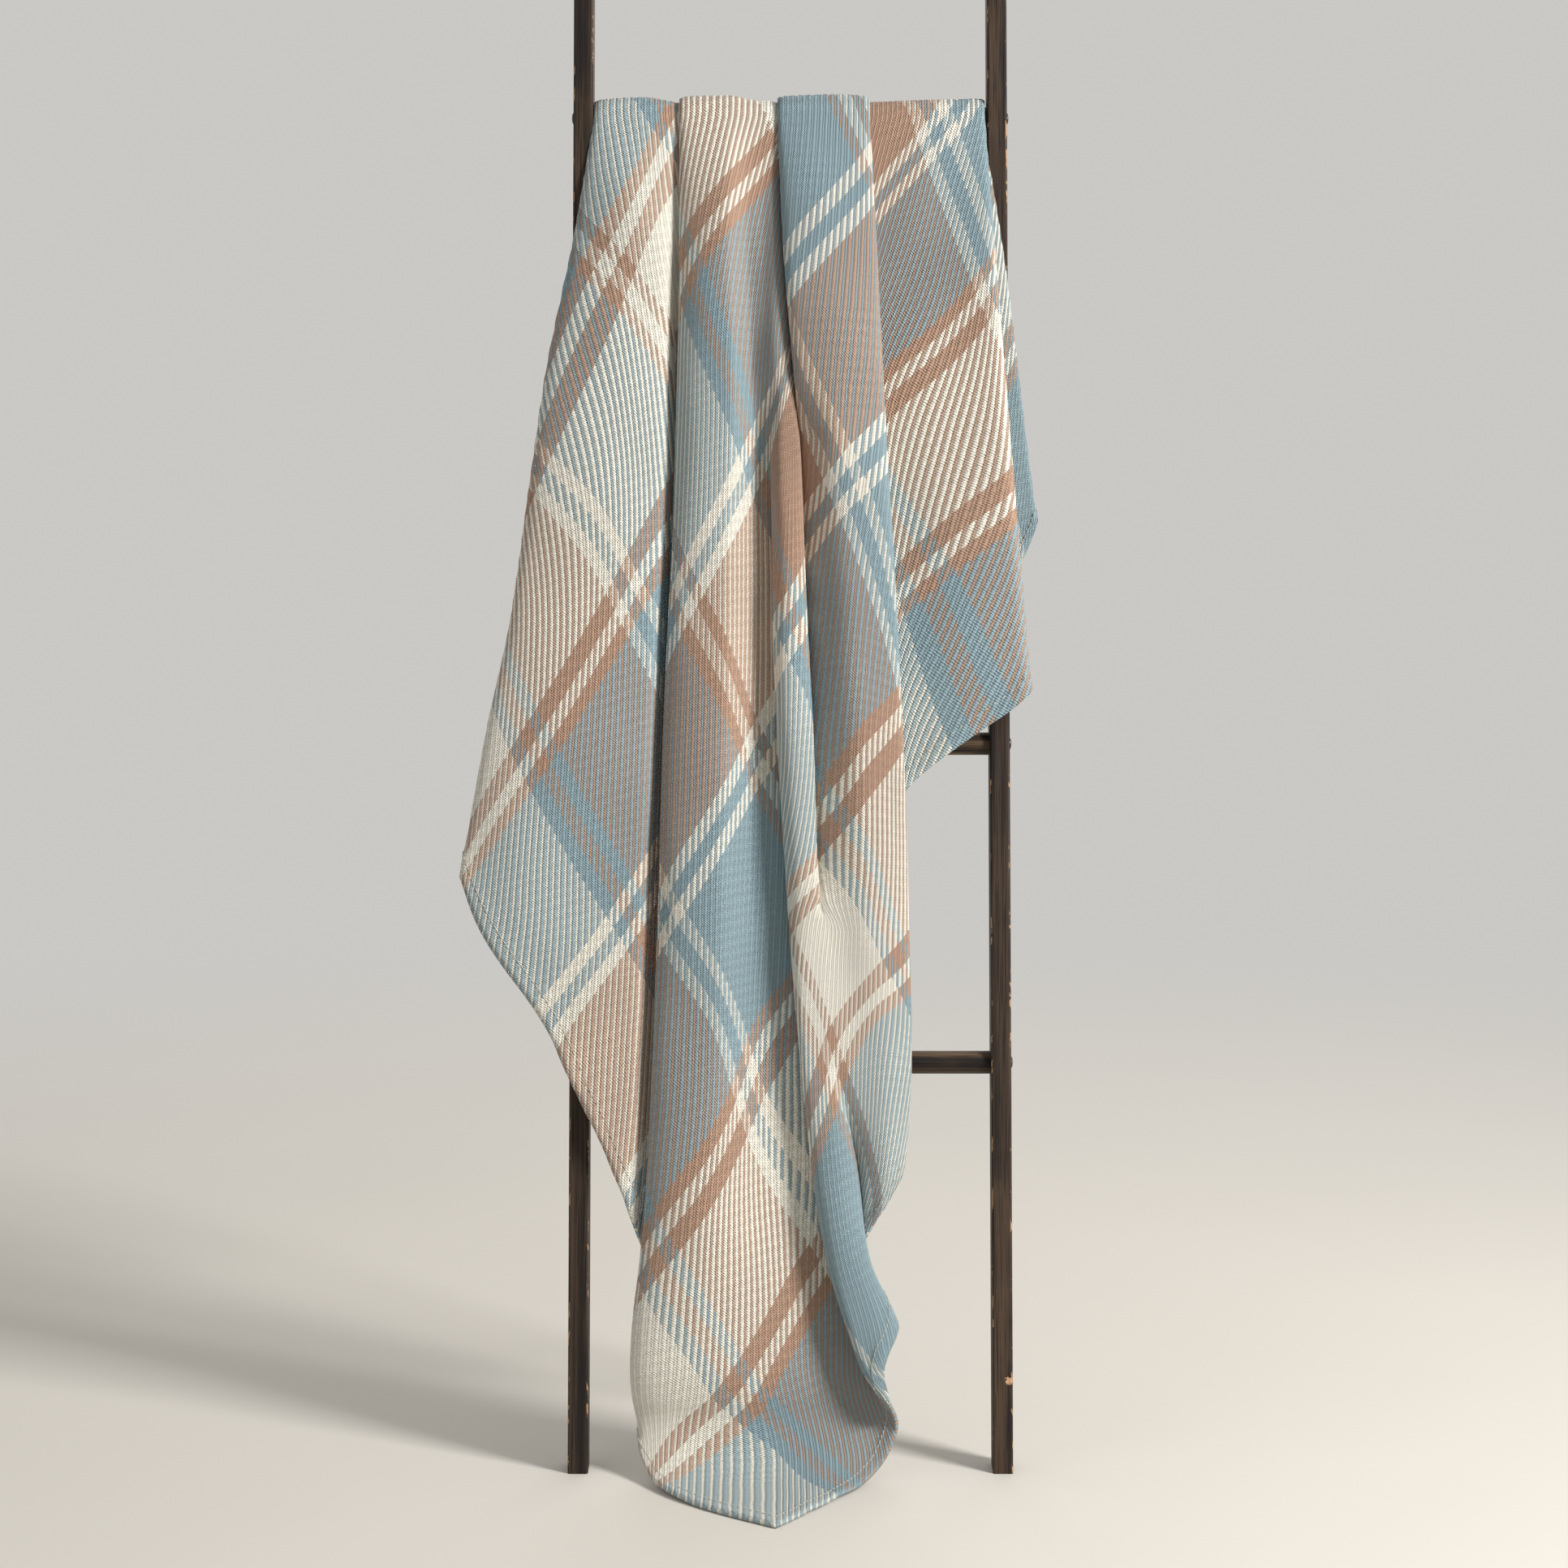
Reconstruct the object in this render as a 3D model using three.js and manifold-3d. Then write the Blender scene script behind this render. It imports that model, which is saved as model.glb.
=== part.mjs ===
// A woven throw hung corner-down over the top rung of a leaning wooden blanket ladder.
// Millimetres, +Z up. The ladder leans back towards +Y, and its face looks towards -Y.
// The origin is the middle of the footprint, on the floor.
import * as THREE from "three";
import { mergeVertices } from "three/addons/utils/BufferGeometryUtils.js";
import Module from "manifold-3d";

const wasm = await Module();
wasm.setup();

// ---------- driving dimensions ----------
const GAP = 0.3; // clearance between touching pieces

const LEAN = THREE.MathUtils.degToRad(13); // how far the ladder leans back from upright
const LADDER_WIDTH = 460; // over the outer faces of the stiles
const STILE_LENGTH = 1600; // along the stile
const STILE_WIDTH = 21; // across the ladder
const STILE_DEPTH = 38; // front to back
const STILE_EDGE_RADIUS = 2.5; // eased long edges
const WALL_CUT = 6; // how deep the plumb cut takes the top rear corner back

const RUNG_RADIUS = 12;
const RUNG_COUNT = 4;
const FIRST_RUNG = 420; // along the stile, from the floor
const RUNG_PITCH = 334.3; // along the stile
const SOCKET_DEPTH = 7; // blind socket in the stile for the rung's end
const RUNG_END_CHAMFER = 1;

const SCREW_HEAD_RADIUS = 6;
const SCREW_HEAD_HEIGHT = 2.2;
const SCREW_SHANK_RADIUS = 2.2;
const SCREW_REACH = 40; // from the stile's outer face to the screw's tip
const SCREW_TIP = 4; // length of the tapered tip
const HEX_RADIUS = 2.3; // corner radius of the drive recess
const HEX_DEPTH = 1.2;

const CLOTH_BACK = 20.8; // the front fall starts this far in front of the ladder's middle plane
const CLOTH_FRONT = 66; // and its folds reach this far
const SADDLE_INNER = RUNG_RADIUS + 0.5;
const SADDLE_OUTER = RUNG_RADIUS + 12;
const SADDLE_WIDTH = 404; // the throw is gathered between the stiles on the rung
const BACK_FALL_THICKNESS = 24;
const TAIL_THICKNESS = 30; // the corner that lies on the floor

// ---------- derived sizes ----------
const HALF_WIDTH = LADDER_WIDTH / 2;
const INNER_FACE = HALF_WIDTH - STILE_WIDTH;
const STILE_CENTRE = HALF_WIDTH - STILE_WIDTH / 2;
const RUNG_HALF_LENGTH = INNER_FACE + SOCKET_DEPTH - GAP;
const RUNG_HEIGHTS = Array.from({ length: RUNG_COUNT }, (_, i) => FIRST_RUNG + i * RUNG_PITCH);
const TOP_RUNG = RUNG_HEIGHTS[RUNG_COUNT - 1];
const LEAN_ROTATION = new THREE.Matrix4().makeRotationX(-LEAN);
const UPRIGHT_ROTATION = new THREE.Matrix4().makeRotationX(LEAN);

// ---------- solids: joining and cutting ----------
function solid(geometry) {
  const bare = geometry.clone();
  bare.deleteAttribute("normal");
  bare.deleteAttribute("uv");
  const merged = mergeVertices(bare, 1e-4);
  return new wasm.Manifold(
    new wasm.Mesh({
      numProp: 3,
      vertProperties: new Float32Array(merged.attributes.position.array),
      triVerts: new Uint32Array(merged.index.array),
    }),
  );
}

function geometryOf(made) {
  const mesh = made.getMesh();
  const geometry = new THREE.BufferGeometry();
  geometry.setAttribute("position", new THREE.BufferAttribute(new Float32Array(mesh.vertProperties), 3));
  geometry.setIndex(new THREE.BufferAttribute(new Uint32Array(mesh.triVerts), 1));
  geometry.computeVertexNormals();
  return geometry;
}

// A round bar along X, from x0 to x1.
function barAlongX(radius, x0, x1, segments = 24) {
  const bar = new THREE.CylinderGeometry(radius, radius, x1 - x0, segments);
  bar.rotateZ(Math.PI / 2);
  bar.translate((x0 + x1) / 2, 0, 0);
  return bar;
}

// A box given by its corners, turned from the floor's frame into the leaning frame.
function uprightBox(low, high) {
  const size = [0, 1, 2].map((i) => high[i] - low[i]);
  const box = new THREE.BoxGeometry(...size);
  box.translate(...[0, 1, 2].map((i) => (low[i] + high[i]) / 2));
  return box.applyMatrix4(UPRIGHT_ROTATION);
}

// An outline in the XZ plane, given as [x, z] points, made thick from y0 to y1.
function slabXZ(outline, y0, y1) {
  const shape = new THREE.Shape(outline.map(([x, z]) => new THREE.Vector2(x, z)));
  const slab = new THREE.ExtrudeGeometry(shape, { depth: y1 - y0, bevelEnabled: false, steps: 1 });
  slab.rotateX(Math.PI / 2);
  slab.translate(0, y1, 0);
  return slab;
}

// An outline in the YZ plane, given as a shape of (y, z), made wide across X.
function slabYZ(shape, width) {
  const slab = new THREE.ExtrudeGeometry(shape, { depth: width, bevelEnabled: false, curveSegments: 16 });
  const toYZ = new THREE.Matrix4().set(0, 0, 1, 0, 1, 0, 0, 0, 0, 1, 0, 0, 0, 0, 0, 1);
  slab.applyMatrix4(toYZ);
  slab.translate(-width / 2, 0, 0);
  return slab;
}

// ---------- materials ----------
const stainedWood = new THREE.MeshStandardMaterial({ color: 0x3a2c22, roughness: 0.6, metalness: 0 });
const darkSteel = new THREE.MeshStandardMaterial({ color: 0x3b3836, roughness: 0.4, metalness: 0.8 });
const wovenCotton = new THREE.MeshStandardMaterial({ color: 0x9fb0b5, roughness: 0.95, metalness: 0 });

function part(name, geometry, material) {
  const mesh = new THREE.Mesh(geometry, material);
  mesh.name = name;
  return mesh;
}

// ---------- the ladder, in its own leaning frame: X across, Y front to back, Z along the stile ----------
function stileSection() {
  const w = STILE_WIDTH / 2;
  const d = STILE_DEPTH / 2;
  const r = STILE_EDGE_RADIUS;
  const section = new THREE.Shape();
  section.moveTo(w, -d + r);
  section.lineTo(w, d - r);
  section.absarc(w - r, d - r, r, 0, Math.PI / 2);
  section.lineTo(-w + r, d);
  section.absarc(-w + r, d - r, r, Math.PI / 2, Math.PI);
  section.lineTo(-w, -d + r);
  section.absarc(-w + r, -d + r, r, Math.PI, Math.PI * 1.5);
  section.lineTo(w - r, -d);
  section.absarc(w - r, -d + r, r, Math.PI * 1.5, Math.PI * 2);
  return section;
}

// side is -1 for the left stile and +1 for the right one.
function stile(side) {
  const below = STILE_DEPTH; // extra length that the floor cut takes off
  const blank = new THREE.ExtrudeGeometry(stileSection(), {
    depth: STILE_LENGTH + below,
    bevelEnabled: false,
    curveSegments: 3,
  });
  blank.translate(side * STILE_CENTRE, 0, -below);
  const rearTopY = STILE_LENGTH * Math.sin(LEAN) + (STILE_DEPTH / 2) * Math.cos(LEAN);
  const floorCut = uprightBox([-400, -200, -200], [400, 200, 0]);
  const wallCut = uprightBox([-400, rearTopY - WALL_CUT, 1400], [400, rearTopY + 200, 1800]);
  let made = solid(blank).subtract(solid(floorCut)).subtract(solid(wallCut));
  for (const height of RUNG_HEIGHTS) {
    const socket = barAlongX(RUNG_RADIUS + GAP, INNER_FACE - 5, INNER_FACE + SOCKET_DEPTH);
    const clearance = barAlongX(SCREW_SHANK_RADIUS + GAP, INNER_FACE, HALF_WIDTH + 5, 12);
    for (const cutter of [socket, clearance]) {
      if (side < 0) cutter.rotateZ(Math.PI);
      cutter.translate(0, 0, height);
      made = made.subtract(solid(cutter));
    }
  }
  return geometryOf(made);
}

// A round rung with eased ends and a pilot hole for a screw in each end.
function rung() {
  const end = RUNG_HALF_LENGTH;
  const profile = [
    [0, -end],
    [RUNG_RADIUS - RUNG_END_CHAMFER, -end],
    [RUNG_RADIUS, -end + RUNG_END_CHAMFER],
    [RUNG_RADIUS, end - RUNG_END_CHAMFER],
    [RUNG_RADIUS - RUNG_END_CHAMFER, end],
    [0, end],
  ];
  const bar = new THREE.LatheGeometry(profile.map(([r, x]) => new THREE.Vector2(r, x)), 32);
  bar.rotateZ(-Math.PI / 2);
  const holeBottom = HALF_WIDTH - SCREW_REACH - 2;
  let made = solid(bar);
  for (const side of [-1, 1]) {
    const pilot = barAlongX(SCREW_SHANK_RADIUS + GAP, holeBottom, HALF_WIDTH, 12);
    if (side < 0) pilot.rotateZ(Math.PI);
    made = made.subtract(solid(pilot));
  }
  return geometryOf(made);
}

// A dome-head screw along +X with its seat at x = 0 and its shank towards -X.
function screw() {
  const seat = GAP;
  const rim = 0.5; // thickness of the head's edge
  const domeSteps = 5;
  const profile = [
    [0, -SCREW_REACH],
    [SCREW_SHANK_RADIUS, -SCREW_REACH + SCREW_TIP],
    [SCREW_SHANK_RADIUS, seat],
    [SCREW_HEAD_RADIUS, seat],
  ];
  for (let i = 0; i <= domeSteps; i += 1) {
    const angle = (i / domeSteps) * (Math.PI / 2);
    const rise = (SCREW_HEAD_HEIGHT - rim) * Math.sin(angle);
    profile.push([SCREW_HEAD_RADIUS * Math.cos(angle), seat + rim + rise]);
  }
  profile[profile.length - 1][0] = 0;
  const body = new THREE.LatheGeometry(profile.map(([r, x]) => new THREE.Vector2(r, x)), 20);
  const recess = new THREE.CylinderGeometry(HEX_RADIUS, HEX_RADIUS, 2 * HEX_DEPTH, 6);
  recess.translate(0, seat + SCREW_HEAD_HEIGHT, 0);
  const made = solid(body).subtract(solid(recess));
  return geometryOf(made).rotateZ(-Math.PI / 2);
}

function ladder() {
  const group = new THREE.Group();
  group.add(part("stile_left", stile(-1), stainedWood));
  group.add(part("stile_right", stile(1), stainedWood));
  RUNG_HEIGHTS.forEach((height, i) => {
    const bar = part(`rung_${i + 1}`, rung(), stainedWood);
    bar.position.z = height;
    const right = part(`screw_right_${i + 1}`, screw(), darkSteel);
    right.position.set(HALF_WIDTH, 0, height);
    const left = part(`screw_left_${i + 1}`, screw(), darkSteel);
    left.position.set(-HALF_WIDTH, 0, height);
    left.rotation.z = Math.PI;
    group.add(bar, right, left);
  });
  group.rotation.x = -LEAN;
  return group;
}

// ---------- the throw: one plain closed solid of its outer shape ----------
// Its front outline lies on the ladder's slope, as [across, along the stile].
const FRONT_OUTLINE = [
  [-202, 1432],
  [-214, 1365],
  [-230, 1278],
  [-252, 1180],
  [-276, 1003],
  [-316, 764],
  [-346, 590],
  [-281, 485],
  [-230, 400],
  [-160, 243],
  [-152, 176],
  [-163, 94],
  [-152, -20],
  [108, -20],
  [106, 135],
  [88, 243],
  [122, 343],
  [127, 510],
  [118, 696],
  [183, 730],
  [250, 806],
  [248, 880],
  [273, 893],
  [250, 1054],
  [232, 1250],
  [206, 1365],
  [202, 1432],
];

// The back fall hangs straight down from the rung to the opposite corner, as [across, height].
const BACK_OUTLINE = [
  [-202, 1385],
  [-202, 1250],
  [-150, 1040],
  [40, 500],
  [110, 500],
  [202, 1000],
  [202, 1385],
];

// The corner that lies on the floor in front of the ladder, as [across, front to back].
const TAIL_OUTLINE = [
  [-152, -18],
  [-148, -60],
  [-112, -115],
  [-58, -175],
  [-8, -203],
  [50, -165],
  [100, -90],
  [108, -18],
];

function saddleShape() {
  const shape = new THREE.Shape();
  const down = 45; // how far the saddle's legs reach below the rung's middle
  shape.moveTo(-SADDLE_OUTER, -down);
  shape.lineTo(-SADDLE_OUTER, 0);
  shape.absarc(0, 0, SADDLE_OUTER, Math.PI, 0, true);
  shape.lineTo(SADDLE_INNER, 0);
  shape.absarc(0, 0, SADDLE_INNER, 0, Math.PI, false);
  shape.lineTo(-SADDLE_INNER, -down);
  shape.closePath();
  return shape;
}

function throwBody() {
  const rungY = TOP_RUNG * Math.sin(LEAN);
  const rungZ = TOP_RUNG * Math.cos(LEAN);
  const front = slabXZ(FRONT_OUTLINE, -CLOTH_FRONT, -CLOTH_BACK).applyMatrix4(LEAN_ROTATION);
  const saddle = slabYZ(saddleShape(), SADDLE_WIDTH);
  saddle.applyMatrix4(LEAN_ROTATION).translate(0, rungY, rungZ);
  const backStart = rungY + SADDLE_INNER;
  const back = slabXZ(BACK_OUTLINE, backStart, backStart + BACK_FALL_THICKNESS);
  const tailShape = new THREE.Shape(TAIL_OUTLINE.map(([x, y]) => new THREE.Vector2(x, y)));
  const tail = new THREE.ExtrudeGeometry(tailShape, { depth: TAIL_THICKNESS, bevelEnabled: false });
  const underFloor = new THREE.BoxGeometry(1200, 1200, 200);
  underFloor.translate(0, 0, -100);
  const joined = [saddle, back, tail].reduce((sum, piece) => sum.add(solid(piece)), solid(front));
  return geometryOf(joined.subtract(solid(underFloor)));
}

// ---------- the whole object, with the origin under the middle of its box ----------
const object = new THREE.Group();
object.add(ladder());
object.add(part("throw", throwBody(), wovenCotton));
object.updateMatrixWorld(true);
const box = new THREE.Box3().setFromObject(object, true);
object.position.set(-(box.min.x + box.max.x) / 2, -(box.min.y + box.max.y) / 2, -box.min.z);

export default object;
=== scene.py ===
"""A woven plaid throw hung over the top rung of a dark wooden blanket ladder.

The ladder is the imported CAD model. The throw is one rectangle of cloth. Every point of it is named by
where it lies in the flat cloth, and placed by the lines that the folds follow from the hem to the rung.
Lengths are in mm where the cloth is worked out, and in metres where they reach Blender.
"""

import math

import bpy
import numpy as np
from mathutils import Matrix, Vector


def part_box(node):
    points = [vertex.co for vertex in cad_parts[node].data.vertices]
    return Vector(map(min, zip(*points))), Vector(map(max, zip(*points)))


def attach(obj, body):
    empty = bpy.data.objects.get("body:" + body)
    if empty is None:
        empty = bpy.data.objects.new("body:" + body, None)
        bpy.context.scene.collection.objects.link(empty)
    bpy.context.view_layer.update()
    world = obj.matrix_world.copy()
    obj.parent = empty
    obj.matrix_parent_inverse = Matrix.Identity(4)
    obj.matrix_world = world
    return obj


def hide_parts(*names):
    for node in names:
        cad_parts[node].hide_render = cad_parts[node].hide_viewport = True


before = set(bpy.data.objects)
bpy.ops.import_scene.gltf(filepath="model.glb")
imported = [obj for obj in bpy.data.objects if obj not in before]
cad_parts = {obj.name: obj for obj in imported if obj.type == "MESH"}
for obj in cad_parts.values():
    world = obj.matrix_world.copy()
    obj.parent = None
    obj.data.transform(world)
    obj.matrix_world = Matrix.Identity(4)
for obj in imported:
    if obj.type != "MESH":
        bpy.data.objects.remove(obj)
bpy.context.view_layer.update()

# ---------------------------------------------------------------- the ladder, read from the frame


def centre_of(node):
    low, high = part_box(node)
    return (low + high) / 2


LOW_RUNG = centre_of("rung_1")
TOP_RUNG = centre_of("rung_4")
LEAN = math.atan2(TOP_RUNG.y - LOW_RUNG.y, TOP_RUNG.z - LOW_RUNG.z)
MIDDLE_X = TOP_RUNG.x
FOOT_Y = TOP_RUNG.y - TOP_RUNG.z * math.tan(LEAN)
RUNG_ALONG = 1000 * TOP_RUNG.z / math.cos(LEAN)  # mm up the slope from the floor
RUNG_RADIUS = 12.0
WRAP_RADIUS = RUNG_RADIUS + 5  # where the cloth's length is measured round the rung

# ---------------------------------------------------------------- the cloth, in cloth units
# 1 unit is 0.983 mm. The cloth hangs with one corner down. S and T run along its two hems from that
# corner, "down" is S + T and "across" is T - S, so a line of constant across is one rib.

CUT_S, CUT_T = 1323, 1716
GRID = 7.0
CLOTH_THICKNESS = 0.0026  # m, away from the hem
SINGLE_SHARE = 0.58  # that thickness as a share of the turned hem's
HEM_WIDTH = 20
RIB = 12.2

# Each stripe of the sett is 17 units wide where it belongs to a group of three.
GROUP = 17
CREAM, BLUE, TAN = "cream", "blue", "tan"


def group(outer, inner):
    return [(GROUP, outer), (GROUP, inner), (GROUP, outer)]


SETT_T = [
    (127, CREAM), *group(BLUE, TAN), (135, TAN), *group(CREAM, BLUE), (157, BLUE), *group(TAN, CREAM),
]
SETT_S = [
    (157, BLUE), *group(TAN, CREAM), (127, CREAM), *group(TAN, CREAM), (157, BLUE),
    *group(CREAM, BLUE), (135, TAN), *group(CREAM, BLUE), (157, BLUE), *group(TAN, CREAM),
    (127, CREAM), *group(TAN, CREAM), (157, BLUE),
]
SETT_T_REPEAT = 572

# ---------------------------------------------------------------- the fold lines
# Each line runs up the front of the ladder. A point on it is (mm up the slope, cloth across, mm from
# the middle of the ladder, mm of stand-off from the rungs before the line, the same after it). The
# stand-off changes at a line where the cloth turns under itself.

FOLD_LINES = {
    "fold1_behind": [
        (1430, -900, -71, 2, 2), (1285, -1010, -78, 8, 8), (1005, -1270, -89, 9, 9), (885, -1350, -99, 9, 9),
        (590, -1400, -165, 9, 9), (400, -1400, -200, 9, 9),
    ],
    "left_roll": [
        (1430, -579, -206, 2, 6), (1285, -650, -229, 9, 18), (1150, -735, -256, 9, 22),
        (1005, -825, -276, 9, 24), (885, -890, -292, 9, 24), (765, -935, -317, 9, 22),
        (590, -965, -348, 9, 18), (485, -970, -372, 9, 16), (400, -970, -360, 9, 14),
        (240, -970, -348, 9, 14),
    ],
    "fold1_mid": [
        (1430, -490, -158, 8, 8), (1280, -552, -170, 36, 36), (1000, -680, -194, 44, 44),
        (765, -735, -225, 42, 42), (590, -745, -239, 36, 36), (400, -727, -239, 26, 26),
        (245, -727, -230, 20, 20),
    ],
    "fold1_shoulder": [
        (1430, -425, -127, 4, 4), (1280, -475, -134, 26, 26), (1145, -520, -135, 32, 32),
        (1000, -556, -138, 34, 34), (765, -582, -151, 34, 34), (590, -586, -158, 32, 32),
        (400, -578, -163, 27, 27), (245, -562, -168, 22, 22), (75, -540, -160, 18, 18),
    ],
    "fold1_under": [
        (1430, -410, -119, 3, 3), (1280, -450, -120, 11, 11), (1145, -488, -120, 9, 9),
        (990, -524, -121, 9, 9), (900, -540, -127, 9, 9), (570, -540, -140, 9, 9),
        (300, -530, -149, 9, 9), (220, -515, -153, 9, 9), (75, -500, -146, 9, 9),
    ],
    "pleat1": [
        (1430, -356, -96, 3, 6), (1280, -357, -75, 9, 14), (1145, -375, -68, 8, 13),
        (990, -390, -63, 8, 13), (900, -398, -64, 8, 13), (570, -398, -75, 8, 13),
        (300, -385, -85, 8, 13), (220, -372, -91, 8, 13), (75, -365, -108, 8, 13),
    ],
    "fold2_left": [
        (1430, -304, -117, 6, 9), (1280, -265, -116, 17, 26), (1140, -262, -118, 18, 32),
        (985, -257, -122, 18, 34), (900, -255, -126, 18, 34), (765, -255, -132, 18, 34),
        (570, -255, -137, 18, 34), (425, -248, -142, 18, 34), (300, -240, -148, 18, 34),
        (220, -232, -154, 18, 34), (135, -230, -163, 18, 34), (75, -230, -165, 18, 34),
    ],
    "fold2_crest": [
        (1430, -207, -67, 9, 9), (1275, -150, -68, 48, 48), (1140, -105, -62, 53, 53),
        (985, -115, -68, 54, 54), (760, -120, -72, 54, 54), (570, -122, -78, 54, 54),
        (390, -125, -82, 54, 54), (225, -120, -92, 54, 54), (75, -110, -95, 48, 48),
    ],
    "fold2_flank": [
        (1430, -165, -45, 7, 7), (1280, -90, -42, 20, 20), (1145, -50, -40, 18, 18),
        (1055, -20, -34, 18, 18), (900, -22, -34, 17, 17), (740, -22, -36, 17, 17),
        (570, -12, -36, 17, 17), (435, 15, -30, 18, 18), (300, 50, -14, 19, 19),
        (220, 70, 0, 21, 21), (140, 85, 9, 24, 24), (75, 80, 9, 25, 25),
    ],
    "valley": [
        (1430, -140, -32, 5, 5), (1280, -50, -24, 19, 19), (1155, -10, -25, 24, 24),
        (1055, 5, -24, 19, 19), (900, 14, -18, 15, 15), (740, 22, -13, 14, 14),
        (610, 45, -5, 14, 14), (435, 80, 7, 14, 14), (300, 105, 24, 14, 14),
        (220, 135, 36, 14, 14), (130, 200, 64, 14, 14), (75, 250, 83, 14, 14),
    ],
    "pleat2": [
        (1430, -130, -28, 5, 5), (1280, -40, -20, 22, 22), (1155, 10, -18, 29, 29),
        (1055, 14, -21, 19, 22), (900, 57, 1, 13, 18), (740, 68, 8, 13, 18), (610, 97, 18, 13, 18),
        (435, 134, 30, 13, 18), (300, 172, 49, 13, 18), (220, 200, 60, 13, 18),
        (130, 245, 77, 13, 20), (75, 270, 88, 15, 24),
    ],
    "ridge_left": [
        (1430, -124, -24, 5, 5), (1280, -28, -16, 23, 23), (1155, 35, -12, 31, 31),
        (1055, 24, -19, 22, 30), (900, 100, -18, 22, 36), (740, 114, -12, 22, 38),
        (610, 190, -4, 22, 38), (552, 222, 0, 22, 38), (455, 252, 8, 22, 40), (300, 280, 24, 22, 42),
        (220, 285, 37, 22, 46), (130, 292, 64, 26, 50), (75, 300, 84, 30, 48),
    ],
    "ridge_mid": [
        (1430, -118, -20, 4, 4), (1280, -15, -12, 22, 22), (1155, 58, -5, 30, 30),
        (1050, 110, -5, 40, 40), (900, 145, -1, 46, 46), (735, 175, 7, 48, 48),
        (610, 230, 12, 46, 46), (552, 272, 18, 44, 44), (455, 310, 26, 44, 44), (300, 350, 46, 50, 50),
        (225, 360, 60, 53, 53), (130, 368, 88, 53, 53), (75, 330, 93, 44, 44),
    ],
    "ridge_right": [
        (1430, -110, -15, 4, 3), (1280, 0, -7, 20, 11), (1155, 80, 2, 27, 13),
        (1055, 198, 10, 36, 18), (900, 190, 16, 40, 20), (740, 228, 24, 42, 20),
        (635, 262, 27, 42, 22), (590, 285, 30, 43, 34), (552, 312, 32, 44, 44), (455, 345, 37, 44, 44),
        (300, 420, 68, 38, 26), (220, 440, 80, 46, 26), (130, 430, 113, 46, 24),
        (75, 340, 102, 34, 20),
    ],
    "pleat3": [
        (1430, 10, 36, 3, 6), (1280, 90, 32, 11, 18), (1155, 145, 29, 13, 24),
        (1055, 219, 6, 14, 14), (900, 240, -5, 14, 14), (740, 295, -7, 14, 14),
        (635, 312, 8, 15, 15), (590, 322, 26, 34, 34), (552, 346, 44, 43, 43), (455, 364, 44, 43, 43),
        (300, 450, 71, 18, 18), (220, 500, 77, 16, 16), (130, 520, 81, 14, 14),
    ],
    "fold3_left": [
        (1430, 130, -13, 6, 9), (1280, 170, -7, 25, 36), (1155, 213, 3, 31, 42),
        (1055, 240, 12, 18, 26), (900, 290, 19, 14, 26), (740, 340, 24, 14, 26),
        (635, 360, 28, 15, 30), (590, 362, 34, 34, 37), (552, 380, 55, 43, 43), (455, 392, 55, 43, 43),
        (300, 475, 76, 24, 24), (220, 530, 76, 16, 16), (130, 560, 55, 12, 12),
    ],
    "fold3_crest": [
        (1425, 245, 38, 11, 11), (1275, 275, 44, 50, 50), (1150, 305, 49, 54, 54),
        (1050, 335, 58, 54, 54), (900, 390, 68, 54, 54), (735, 430, 76, 52, 52),
        (635, 440, 80, 52, 52), (552, 460, 84, 49, 49), (455, 492, 94, 46, 46),
        (300, 540, 96, 32, 32), (220, 590, 79, 18, 18), (130, 640, 47, 11, 11),
    ],
    "fold3_right": [
        (1430, 350, 83, 9, 6), (1280, 370, 90, 42, 20), (1155, 390, 96, 46, 20),
        (1055, 420, 101, 46, 20), (900, 480, 110, 46, 20), (690, 548, 119, 42, 20),
        (525, 560, 123, 38, 20), (435, 575, 125, 32, 18), (360, 600, 122, 26, 16),
        (310, 618, 116, 22, 14), (220, 660, 81, 14, 11), (130, 720, 39, 10, 10),
    ],
    "pleat4": [
        (1430, 535, 23, 6, 4), (1280, 600, 23, 20, 13), (1115, 700, 22, 20, 13),
        (920, 770, 27, 20, 13), (700, 880, 35, 20, 13), (435, 900, 47, 16, 12),
        (220, 900, 30, 11, 10),
    ],
    "fold4_left": [
        (1430, 725, 82, 4, 4), (1285, 840, 91, 13, 13), (1120, 980, 98, 13, 13),
        (920, 1072, 109, 13, 13), (770, 1175, 116, 13, 13), (700, 1220, 120, 13, 13),
        (435, 1300, 125, 12, 12),
    ],
    "fold4_mid": [
        (1430, 880, 148, 6, 6), (1280, 985, 158, 22, 22), (1115, 1085, 167, 24, 24),
        (920, 1165, 171, 26, 26), (765, 1285, 191, 25, 25), (700, 1325, 195, 23, 23),
        (435, 1400, 199, 18, 18),
    ],
    "fold4_right": [
        (1430, 1005, 205, 7, 5), (1235, 1142, 218, 31, 15), (1015, 1210, 235, 36, 15),
        (810, 1341, 251, 33, 15), (700, 1400, 259, 28, 15), (435, 1500, 267, 20, 14),
    ],
    "pleat5": [
        (1430, 1110, 169, 4, 3), (1235, 1235, 182, 15, 12), (1015, 1330, 205, 15, 12),
        (900, 1375, 211, 15, 12), (810, 1440, 218, 15, 12), (435, 1600, 224, 14, 12),
    ],
    "flap_right": [
        (1430, 1215, 201, 3, 2), (1255, 1345, 227, 12, 9), (1015, 1520, 255, 12, 9),
        (900, 1645, 273, 12, 9), (810, 1700, 282, 12, 9), (435, 1800, 284, 12, 9),
    ],
    "flap_back": [
        (1430, 1515, 126, 2, 2), (1255, 1640, 143, 9, 9), (1015, 1820, 174, 9, 9),
        (900, 1945, 191, 9, 9), (435, 2100, 199, 9, 9),
    ],
}

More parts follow.
